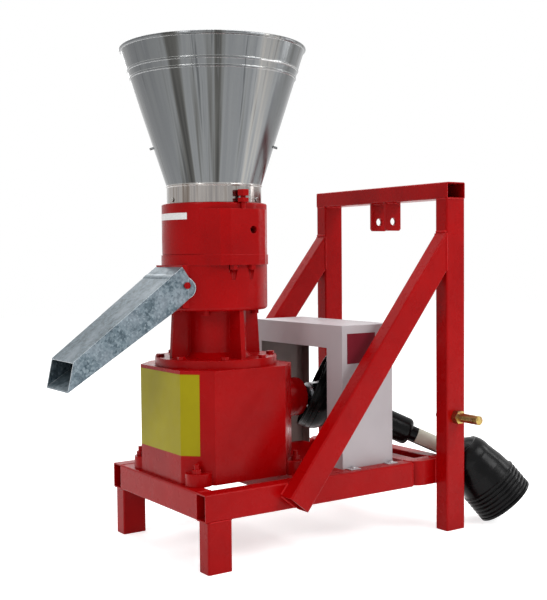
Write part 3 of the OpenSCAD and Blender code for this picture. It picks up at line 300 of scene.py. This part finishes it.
def sheet_metal():
    """Bright steel sheet with painted upright streaks of a room's reflection, a painted highlight
    on its edges, and a lighter, warmer tone on the collar.
    """
    m = Maker("hopper_sheet")
    edge = m.edges(0.0016)
    broad = m.noise(1.0, 3.0, 0.6, vector=m.round_head(3.1, 0.7))
    fine = m.noise(1.0, 4.0, 0.6, vector=m.round_head(13.0, 2.2))
    # painted reflection: the upright streaks stand in for the room mirrored in the sheet
    streaks = m.ramp(broad, [(0.30, (44, 44, 44)), (0.39, (74, 74, 72)), (0.45, (106, 108, 109)),
                             (0.55, (98, 100, 102)), (0.62, (120, 122, 123)),
                             (0.72, (146, 142, 136))])
    lines = m.ramp(fine, [(0.34, (54, 56, 58)), (0.43, (120, 122, 123)), (0.66, (134, 128, 118))])
    body = m.blend(m.values(fine, 0.62, 0.0, 0.32, 0.46), streaks, lines)
    band = m.ramp(fine, [(0.35, (114, 104, 96)), (0.5, (158, 153, 149)), (0.65, (136, 132, 130))])
    above_collar = m.height(COLLAR_TOP - 0.002, COLLAR_TOP + 0.002)
    # painted highlight on the edges; below COLLAR_TOP the collar has its own lighter, warmer tones
    m.colour(m.blend(edge, m.blend(above_collar, band, body), (226, 227, 226)))
    m.rough(m.values(m.noise(1.0, 3.0, vector=m.round_head(9.0, 5.0)), 0.14, 0.26))
    m.bump(m.noise(1.0, 2.0, vector=m.round_head(7.0, 6.0)), 0.0006, 0.3)
    m.set(Metallic=1.0)
    return m.mat


def spangle():
    """Galvanised sheet: crystals under a cloudy bloom, with a painted highlight on its edges."""
    m = Maker("galvanised")
    edge = m.edges(0.0014)
    flakes = m.cells(210.0)
    cloud = m.noise(70.0, 5.0, 0.65)
    crystal = m.ramp(flakes, [(0.1, (72, 86, 94)), (0.5, (100, 114, 122)), (0.9, (126, 139, 146))])
    spots = m.blend(m.values(cloud, 0.75, 0.0, 0.36, 0.5), crystal, (55, 69, 78))
    bloom = m.blend(m.values(m.noise(16.0, 4.0), 0.0, 0.5, 0.46, 0.66), spots, (148, 157, 165))
    # painted highlight: the sharp edges are blended to a pale tone
    m.colour(m.blend(edge, bloom, (224, 230, 234)))
    m.rough(m.values(flakes, 0.3, 0.46, 0.1, 0.9))
    m.bump(m.noise(60.0, 3.0), 0.0005, 0.35)
    m.set(Metallic=0.8)
    return m.mat


def turned(name, tone, rough_low, rough_high):
    """Machined metal with fine tool lines."""
    m = Maker(name)
    m.edges(0.0006)
    darker = [v * 0.86 for v in tone]
    m.colour(m.tones(m.noise(30.0, 4.0), darker, tone))
    m.rough(m.values(m.noise(60.0, 3.0), rough_low, rough_high))
    m.bump(m.wave(420.0, 1.5), 0.0002, 0.25)
    m.set(Metallic=1.0)
    return m.mat


# Middle of the guard box on the ground, and the way from it to the box's outer faces
GUARD_MIDDLE, GUARD_HALF = (0.131689, 0.0, 0.0), (0.076, 0.183, 0.509)


def powder_coat():
    """The guard box's pale coat, darker inside with painted shade."""
    m = Maker("guard_white")
    m.edges(0.0016)
    outer = m.tones(m.noise(5.0, 4.0), (174, 168, 171), (184, 178, 181))
    # painted shade: the inner faces of the box get darker, warmer tones
    painted_shade_inside = m.tones(m.noise(9.0, 5.0), (112, 98, 94), (134, 122, 118))
    m.colour(m.blend(m.outside_of(GUARD_MIDDLE, GUARD_HALF), painted_shade_inside, outer))
    m.rough(m.values(m.noise(30.0, 3.0), 0.36, 0.5))
    m.bump(m.noise(420.0, 2.0), 0.0003, 0.5)
    m.set(Specular_IOR_Level=0.35)
    return m.mat


def plate(name, tones):
    """Zinc plating of several tones."""
    return coat(name, tones, (45.0, 4.0), (90.0, 3.0, 0.22, 0.36), (350.0, 2.0, 0.0002, 0.4),
                edge=0.0006, Metallic=1.0)


def label_film(name, low, high):
    return coat(name, (low, high), (11.0, 4.0), (40.0, 3.0, 0.34, 0.46),
                (24.0, 2.0, 0.0005, 0.25), Specular_IOR_Level=0.12)


MATERIALS = {
    # the last colour is the edge tone: worn paint and a painted highlight
    "frame_paint": enamel("frame_paint", (142, 1, 4), (154, 2, 4), (163, 3, 6), (188, 18, 22),
                          grain=(230.0, 0.0003), rough=(0.22, 0.36)).mat,
    "casting_paint": casting_paint(),
    "galvanised": spangle(),
    "hopper_sheet": sheet_metal(),
    "machined_steel": turned("machined_steel", (186, 188, 191), 0.2, 0.36),
    "tool_steel": turned("tool_steel", (150, 152, 156), 0.26, 0.42),
    "bronze": turned("bronze", (190, 150, 84), 0.24, 0.4),
    "guard_white": powder_coat(),
    "black_plastic": coat("black_plastic", [(3, 3, 4), (10, 10, 11)], (14.0, 4.0),
                          (34.0, 4.0, 0.18, 0.36), (48.0, 4.0, 0.0014, 0.45),
                          edge=0.001, Specular_IOR_Level=0.12),
    "seal_rubber": coat("seal_rubber", [(22, 22, 22), (34, 33, 33)], (80.0,),
                        (120.0, 3.0, 0.6, 0.8), (300.0, 3.0, 0.0003, 0.5)),
    "zinc_yellow": plate("zinc_yellow", [(150, 128, 66), (176, 152, 88), (150, 120, 92),
                                         (168, 158, 96)]),
    "bright_zinc": plate("bright_zinc", [(176, 178, 180), (205, 207, 209), (190, 194, 200)]),
}
for part in frame["record"]["subparts"]:
    shown = frame["nodes"][part["node"]]
    if not shown.material_slots:
        shown.data.materials.append(None)
    for holder in shown.material_slots:
        holder.material = MATERIALS[part["material_slot"]]

# the last colour is the edge tone: worn paint and a painted highlight
weld_paint = enamel("weld_paint", (152, 8, 12), (170, 12, 16), (186, 26, 28), (194, 34, 36),
                    grain=(180.0, 0.0005), rough=(0.2, 0.34)).mat
yellow_film = label_film("yellow_film", (147, 135, 3), (157, 145, 7))
white_film = label_film("white_film", (222, 221, 220), (232, 231, 230))
maroon_film = label_film("maroon_film", (104, 26, 38), (122, 34, 46))
cream_film = label_film("cream_film", (188, 188, 172), (200, 200, 186))


# Mesh pieces
def piece(name, verts, faces, material, slot, body, smooth=False):
    mesh = bpy.data.meshes.new(name)
    mesh.from_pydata([tuple(v) for v in verts], [], faces)
    mesh.validate()
    mesh.update()
    if smooth:
        for polygon in mesh.polygons:
            polygon.use_smooth = True
    mesh.materials.append(material)
    obj = show(name, mesh)
    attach(obj, body)
    return obj


# Sides of a bead, and the length in mm of one step of its ripples
BEAD_SIDES = 9
RIPPLE_STEP = 1.6
# A bead's end starts at this share of the radius and grows by a whole radius in so many mm
BEAD_START = 0.35
BEAD_TAPER = 2.0


def tube(points, radii, verts, faces):
    """Adds a tube along points, one radius to a point, closed at each end."""
    start, count = len(verts), len(points)
    ahead = (points[-1] - points[0]).normalized()
    side = ahead.cross(Vector((0, 0, 1)))
    if side.length < 0.1:  # an upright tube
        side = ahead.cross(Vector((1, 0, 0)))
    side.normalize()
    for i, p in enumerate(points):
        way = (points[min(i + 1, count - 1)] - points[max(i - 1, 0)]).normalized()
        across = (side - way * side.dot(way)).normalized()
        other = way.cross(across)
        for k in range(BEAD_SIDES):
            t = 2 * math.pi * k / BEAD_SIDES
            verts.append(p + radii[i] * (math.cos(t) * across + math.sin(t) * other))
    for i in range(count - 1):
        near, far = start + i * BEAD_SIDES, start + (i + 1) * BEAD_SIDES
        for k in range(BEAD_SIDES):
            n = (k + 1) % BEAD_SIDES
            faces.append([near + k, near + n, far + n, far + k])
    faces.append([start + k for k in reversed(range(BEAD_SIDES))])
    faces.append([start + (count - 1) * BEAD_SIDES + k for k in range(BEAD_SIDES)])


def bead(pile, a, b, radius, seed):
    """Adds a weld bead from a to b, in drawing mm: a run of ripples, which seed varies."""
    a, b = at(*a), at(*b)
    long = (b - a).length * 1000
    count = max(4, int(long / RIPPLE_STEP))
    points, radii = [], []
    for i in range(count + 1):
        s = i / count
        # two waves of unlike length, so that the ripples vary
        ripple = 0.86 + 0.14 * abs(math.sin(i * 1.05 + seed))
        ripple += 0.07 * math.sin(i * 0.31 + 2.1 * seed)
        end = min(1.0, min(s, 1 - s) * long / BEAD_TAPER + BEAD_START)
        points.append(a.lerp(b, s))
        radii.append(radius / 1000 * ripple * end)
    tube(points, radii, *pile)


# Faces of the frame in drawing mm: Y of the rails' inner and outer faces and of the uprights'
# outer ones, Z of the rails' undersides and tops and of the crossbar's underside, X of the
# rails' rear ends and of the uprights' fronts
RAIL_IN, RAIL_OUT, POST_OUT = 180.0, 220.0, 260.0
RAIL_LOW, RAIL_TOP, CROSSBAR_LOW = 112.0, 172.0, 810.0
RAIL_END, POST_FRONT = 584.0, 659.0
# How far the beads between flush faces are sunk into the metal
SUNK = 0.4

# Beads of the left side, whose Y the right side mirrors: (start, end, radius, seed) in mm
CROSSMEMBER_BEADS = [((x, RAIL_IN, 113.5), (x, RAIL_IN, 170.5), 2.8, x)
                     for x in (40.0, 270.0, 310.0)]
CROSSMEMBER_BEADS += [((x0, RAIL_IN, RAIL_TOP - SUNK), (x1, RAIL_IN, RAIL_TOP - SUNK), 1.7, x0)
                      for x0, x1 in ((3.0, 38.0), (272.0, 308.0))]
SIDE_BEADS = [
    # front leg under the rail
    ((6.0, 182.5, RAIL_LOW), (6.0, 217.5, RAIL_LOW), 2.6, 6),
    ((66.0, 182.5, RAIL_LOW), (66.0, 217.5, RAIL_LOW), 2.6, 66),
    ((9.0, 219.7, RAIL_LOW), (63.0, 219.7, RAIL_LOW), 1.6, 3),
    ((9.0, 180.3, RAIL_LOW), (63.0, 180.3, RAIL_LOW), 1.6, 5),
    # rail's rear end on the rear crossmember
    ((RAIL_END, RAIL_OUT - SUNK, 114.0), (RAIL_END, RAIL_OUT - SUNK, 170.0), 1.7, 8),
    ((RAIL_END, 183.0, RAIL_TOP - SUNK), (RAIL_END, 217.0, RAIL_TOP - SUNK), 1.7, 9),
    # hitch beam's bend, and its ends on the upright
    ((669.0, 183.0, 171.8), (669.0, 218.0, 171.8), 2.0, 12),
    ((669.0, RAIL_OUT, 114.0), (669.0, RAIL_OUT, 171.0), 2.8, 669),
    ((709.0, RAIL_OUT, 114.0), (709.0, RAIL_OUT, 171.0), 2.8, 709),
    ((671.0, RAIL_OUT, RAIL_TOP), (707.0, RAIL_OUT, RAIL_TOP), 2.8, 4),
    ((671.0, RAIL_OUT, RAIL_LOW), (707.0, RAIL_OUT, RAIL_LOW), 2.8, 5),
    ((659.6, RAIL_OUT, 114.0), (659.6, RAIL_OUT, 171.0), 2.2, 7),
    # crossbar on the upright
    ((662.0, RAIL_OUT, CROSSBAR_LOW), (716.0, RAIL_OUT, CROSSBAR_LOW), 2.8, 2),
    ((662.0, POST_OUT - SUNK, CROSSBAR_LOW), (716.0, POST_OUT - SUNK, CROSSBAR_LOW), 1.7, 6),
    ((659.4, 222.0, CROSSBAR_LOW), (659.4, 258.0, CROSSBAR_LOW), 1.8, 659.4),
    ((718.6, 222.0, CROSSBAR_LOW), (718.6, 258.0, CROSSBAR_LOW), 1.8, 718.6),
    # brace on the upright
    ((POST_FRONT, 219.8, 636.0), (POST_FRONT, 219.8, 727.0), 2.6, 31),
    ((POST_FRONT, 259.8, 636.0), (POST_FRONT, 259.8, 727.0), 2.6, 31),
    ((POST_FRONT, 222.0, 730.4), (POST_FRONT, 258.0, 730.4), 3.6, 17),
    ((POST_FRONT, 222.0, 633.4), (POST_FRONT, 258.0, 633.4), 2.6, 18),
    # brace on the rail
    ((216.5, RAIL_OUT, 172.2), (287.5, RAIL_OUT, 172.2), 2.8, 21),
    ((212.6, RAIL_OUT, 169.8), (194.0, RAIL_OUT, 146.8), 3.2, 22),
    ((194.4, RAIL_OUT, 144.6), (233.5, RAIL_OUT, 113.4), 2.6, 23),
    ((288.6, RAIL_OUT, 170.0), (243.6, RAIL_OUT, 113.6), 2.6, 24),
]
# Y of the faces of the top link's ears, which hang from the crossbar
EAR_FACES = (-32.0, -24.0, 24.0, 32.0)

welds = ([], [])
for side in (-1, 1):
    rows = [(a, b, radius, seed + side) for a, b, radius, seed in CROSSMEMBER_BEADS]
    for a, b, radius, seed in rows + SIDE_BEADS:
        bead(welds, (a[0], side * a[1], a[2]), (b[0], side * b[1], b[2]), radius, seed)
for y in EAR_FACES:
    bead(welds, (666.0, y, 809.7), (712.0, y, 809.7), 2.2, y)
piece("frame_welds", *welds, weld_paint, "frame_paint", "frame", smooth=True)


# Labels, left bare. How far a label's front and its back stand off the surface, in metres
LABEL_THICK = 0.0003
GEARBOX_LABEL_THICK = 0.00035
LABEL_OFF = 0.00002


def film(name, rows, thick, material, slot, body):
    """A thin film over rows of (point, normal), raised along each point's normal."""
    tall, wide = len(rows), len(rows[0])
    verts = [p + n * thick for row in rows for p, n in row]
    verts += [p + n * LABEL_OFF for row in rows for p, n in row]
    back = tall * wide
    faces = []
    for i in range(tall - 1):
        for j in range(wide - 1):
            a = i * wide + j
            faces.append([a, a + 1, a + wide + 1, a + wide])
            faces.append([back + a, back + a + wide, back + a + wide + 1, back + a + 1])
    rim = list(range(wide)) + [i * wide + wide - 1 for i in range(1, tall)]
    rim += [(tall - 1) * wide + j for j in range(wide - 2, -1, -1)]
    rim += [i * wide for i in range(tall - 2, 0, -1)]
    for a, b in zip(rim, rim[1:] + rim[:1]):
        faces.append([a, back + a, back + b, b])
    piece(name, verts, faces, material, slot, body)


def steps(start, end, count):
    """count + 1 even steps from start to end."""
    return [start + (end - start) * i / count for i in range(count + 1)]


def gearbox_label():
    """Round the corner: over the gearbox's front face and on over its slanting one."""
    front, left, right, corner, slant_run = 13.0, 93.6, -92.6, -94.0, 31.0
    flat, slant = Vector((-1, 0, 0)), Vector((-1, -1, 0)).normalized()
    rows = []
    for z in steps(236.0, 416.0, 12):
        row = [(at(front, y, z), flat) for y in steps(left, right, 10)]
        row.append((at(front, corner, z), (flat * 1.3 + slant).normalized()))
        row += [(at(front + run, corner - run, z), slant) for run in steps(0, slant_run, 5)[1:]]
        rows.append(row)
    film("gearbox_label", rows, GEARBOX_LABEL_THICK, yellow_film, "casting_paint", "frame")


def ring_label():
    """On the front of the roller chamber, just under its top."""
    axis, radius = 163, 123.05
    rows = []
    for z in steps(759.0, 774.0, 3):
        row = []
        for degrees in steps(158.0, 208.7, 18):
            t = math.radians(degrees)
            n = Vector((math.cos(t), math.sin(t), 0))
            row.append((at(axis + radius * math.cos(t), radius * math.sin(t), z), n))
        rows.append(row)
    film("ring_label", rows, LABEL_THICK, white_film, "casting_paint", "frame")


def guard_label():
    """On the guard box's right side, near its top."""
    face, outward = -184.0, Vector((0, -1, 0))
    rows = [[(at(x, face, z), outward) for x in (411.0, 440.0, 468.0, 496.0)]
            for z in (420.0, 445.0, 468.0, 491.0)]
    film("guard_label", rows, LABEL_THICK, maroon_film, "guard_white", "frame")


gearbox_label()
ring_label()
guard_label()


# The driveline as it hangs at rest: it swings to the right side and drops from the mill's joint
SWING, DROP = math.radians(35.0), math.radians(24.4)
DRIVE = Vector((math.cos(DROP) * math.cos(SWING), -math.cos(DROP) * math.sin(SWING),
                -math.sin(DROP)))
DOWN = Vector((-math.sin(DROP) * math.cos(SWING), math.sin(DROP) * math.sin(SWING),
               -math.cos(DROP)))
ACROSS = DRIVE.cross(DOWN)
JOINT = at(474.0, 0, 326.0)
# The bell at the mill's end, with the straight skirt of the photograph: (way from the joint
# along the driveline, radius) in metres, the outside from the mouth on and the inside back
BELL_OUTSIDE = [
    (-0.0260, 0.0912), (-0.0260, 0.0938), (-0.0250, 0.0948), (-0.0215, 0.0948), (-0.0203, 0.0938),
    (-0.0120, 0.0937), (-0.0108, 0.0923), (-0.0090, 0.0923), (-0.0078, 0.0936), (0.0000, 0.0932),
    (0.0012, 0.0918), (0.0030, 0.0917), (0.0042, 0.0927), (0.0100, 0.0912), (0.0160, 0.0886),
    (0.0230, 0.0842), (0.0300, 0.0782), (0.0370, 0.0702), (0.0430, 0.0610), (0.0480, 0.0510),
    (0.0520, 0.0430), (0.0560, 0.0390), (0.0600, 0.0374), (0.0640, 0.0366), (0.0800, 0.0366)]
BELL_INSIDE = [
    (0.0800, 0.03405), (0.0590, 0.03405), (0.0545, 0.0362), (0.0490, 0.0430), (0.0440, 0.0520),
    (0.0390, 0.0618), (0.0330, 0.0704), (0.0260, 0.0778), (0.0180, 0.0838), (0.0100, 0.0880),
    (0.0020, 0.0900), (-0.0100, 0.0910), (-0.0250, 0.0912)]
BELL_SIDES = 96
# Edges sharper than this stay sharp on the bell
SHARP = math.radians(32)


def near_bell():
    side = DRIVE.cross(Vector((0, 0, 1))).normalized()
    other = DRIVE.cross(side)
    profile = BELL_OUTSIDE + BELL_INSIDE
    verts, faces = [], []
    for s, r in profile:
        for k in range(BELL_SIDES):
            t = 2 * math.pi * k / BELL_SIDES
            verts.append(JOINT + DRIVE * s + r * (math.cos(t) * side + math.sin(t) * other))
    for i in range(len(profile)):
        a, b = i * BELL_SIDES, (i + 1) % len(profile) * BELL_SIDES
        for k in range(BELL_SIDES):
            n = (k + 1) % BELL_SIDES
            faces.append([a + k, b + k, b + n, a + n])
    bell = piece("near_bell", verts, faces, MATERIALS["black_plastic"], "black_plastic",
                 "drive_guard", smooth=True)
    bell.data.set_sharp_from_angle(angle=SHARP)
    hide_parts("inner_bell")


def tube_label():
    """Round the inner guard tube, just behind the outer one."""
    radius = 0.0200
    rows = []
    for s in steps(0.262, 0.328, 8):
        row = []
        for degrees in steps(-20, 230, 20):
            t = math.radians(degrees)
            n = math.cos(t) * ACROSS - math.sin(t) * DOWN
            row.append((JOINT + DRIVE * s + n * radius, n))
        rows.append(row)
    film("tube_label", rows, LABEL_THICK, cream_film, "black_plastic", "tail_guard")


near_bell()
tube_label()


# Floor, backdrop and light
def seen_rays(tree):
    """1 on the rays that should see a white backdrop, 0 on those that only carry light."""
    path = tree.nodes.new("ShaderNodeLightPath")
    return largest(tree, [path.outputs[kind] for kind in
                          ("Is Glossy Ray", "Is Transmission Ray", "Is Camera Ray")])


# Half the floor's width in metres, and the light that lifts its tone to the backdrop's white
FLOOR_HALF = 9
FLOOR_GLOW = 0.6
floor_mat = bpy.data.materials.new("floor")
floor_mat.use_nodes = True
tree = floor_mat.node_tree
floor_shader = tree.nodes["Principled BSDF"]
floor_shader.inputs["Base Color"].default_value = (0.9, 0.9, 0.9, 1)
floor_shader.inputs["Roughness"].default_value = 0.9
glow = tree.nodes.new("ShaderNodeEmission")
glow.inputs["Color"].default_value = (1, 1, 1, 1)
dim = tree.nodes.new("ShaderNodeMath")
dim.operation = "MULTIPLY"
dim.inputs[1].default_value = FLOOR_GLOW
both = tree.nodes.new("ShaderNodeAddShader")
tree.links.new(seen_rays(tree), dim.inputs[0])
tree.links.new(dim.outputs["Value"], glow.inputs["Strength"])
tree.links.new(floor_shader.outputs["BSDF"], both.inputs[0])
tree.links.new(glow.outputs["Emission"], both.inputs[1])
tree.links.new(both.outputs["Shader"], tree.nodes["Material Output"].inputs["Surface"])
mesh = bpy.data.meshes.new("floor")
mesh.from_pydata([(-FLOOR_HALF, -FLOOR_HALF, 0), (FLOOR_HALF, -FLOOR_HALF, 0),
                  (FLOOR_HALF, FLOOR_HALF, 0), (-FLOOR_HALF, FLOOR_HALF, 0)], [], [[0, 1, 2, 3]])
mesh.materials.append(floor_mat)
floor = show("floor", mesh)

world = bpy.data.worlds.new("studio")
bpy.context.scene.world = world
world.use_nodes = True
tree = world.node_tree
lit = tree.nodes["Background"]
seen = tree.nodes.new("ShaderNodeBackground")
for background, strength in ((lit, 0.5), (seen, 1.0)):
    background.inputs["Color"].default_value = (1.0, 1.0, 1.0, 1)
    background.inputs["Strength"].default_value = strength
mix = tree.nodes.new("ShaderNodeMixShader")
tree.links.new(seen_rays(tree), mix.inputs["Fac"])
tree.links.new(lit.outputs["Background"], mix.inputs[1])
tree.links.new(seen.outputs["Background"], mix.inputs[2])
tree.links.new(mix.outputs["Shader"], tree.nodes["World Output"].inputs["Surface"])


def lamp(name, place, target, size, power):
    """A rectangular lamp at place, turned to target; metres and watts."""
    data = bpy.data.lights.new(name, "AREA")
    data.shape = "RECTANGLE"
    data.size, data.size_y = size
    data.energy = power
    obj = show(name, data)
    obj.location = place
    way = Vector(target) - Vector(place)
    obj.rotation_euler = way.to_track_quat("-Z", "Y").to_euler()


lamp("key", (1.6, -3.2, 3.0), (0, 0, 0.4), (2.0, 1.6), 76)
lamp("top", (0.2, 0.2, 3.6), (0, 0, 0), (2.4, 2.4), 68)
lamp("left", (-3.4, -1.4, 2.6), (0, 0, 0.5), (1.0, 1.6), 34)
lamp("rim", (3.0, -1.0, 1.4), (0, 0, 0.5), (0.5, 1.8), 16)
lamp("back", (1.2, 3.2, 2.4), (0, 0, 0.5), (2.0, 2.0), 30)

bpy.context.scene.view_settings.view_transform = "Standard"
